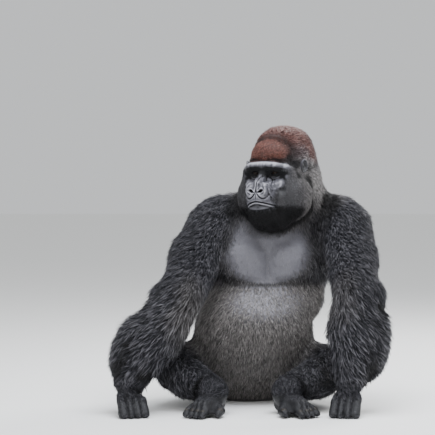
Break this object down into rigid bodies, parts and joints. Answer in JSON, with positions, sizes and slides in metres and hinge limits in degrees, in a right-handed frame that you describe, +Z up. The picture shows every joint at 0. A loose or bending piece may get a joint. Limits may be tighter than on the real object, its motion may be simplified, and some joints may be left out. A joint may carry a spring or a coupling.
{
  "type": "seated western lowland gorilla, life-size museum model",
  "caption": "Life-size still model of an adult silverback western lowland gorilla, seated upright with its head turned to its right and its knuckles on the floor.",
  "frame": {"origin": "middle of the flat that the rump sits on, at floor level", "axes": "+Z up; -Y is the way the chest faces; +X is the animal's left side; -Z points out of the seat, into the floor"},
  "size_m": [1.0429, 0.8195, 1.0581],
  "materials": {
    "body_coat": "long coarse blackish hair, greyer on the back, over dark skin",
    "head_coat_and_face": "chestnut crown hair, grey-brown cheeks and bare black wrinkled face",
    "black_skin": "bare creased black skin with a dull sheen",
    "eyeball": "wet dark brown eye with a dark surround"
  },
  "bodies": {
    "root": {"trunk": "body_coat", "neck": "body_coat", "head": "head_coat_and_face", "ear_right": "black_skin", "eye_right": "eyeball", "upper_arm_right": "body_coat", "forearm_right": "body_coat", "hand_right": "black_skin", "thigh_right": "body_coat", "shin_right": "body_coat", "foot_right": "black_skin", "ear_left": "black_skin", "eye_left": "eyeball", "upper_arm_left": "body_coat", "forearm_left": "body_coat", "hand_left": "black_skin", "thigh_left": "body_coat", "shin_left": "body_coat", "foot_left": "black_skin"}
  },
  "joints": []
}
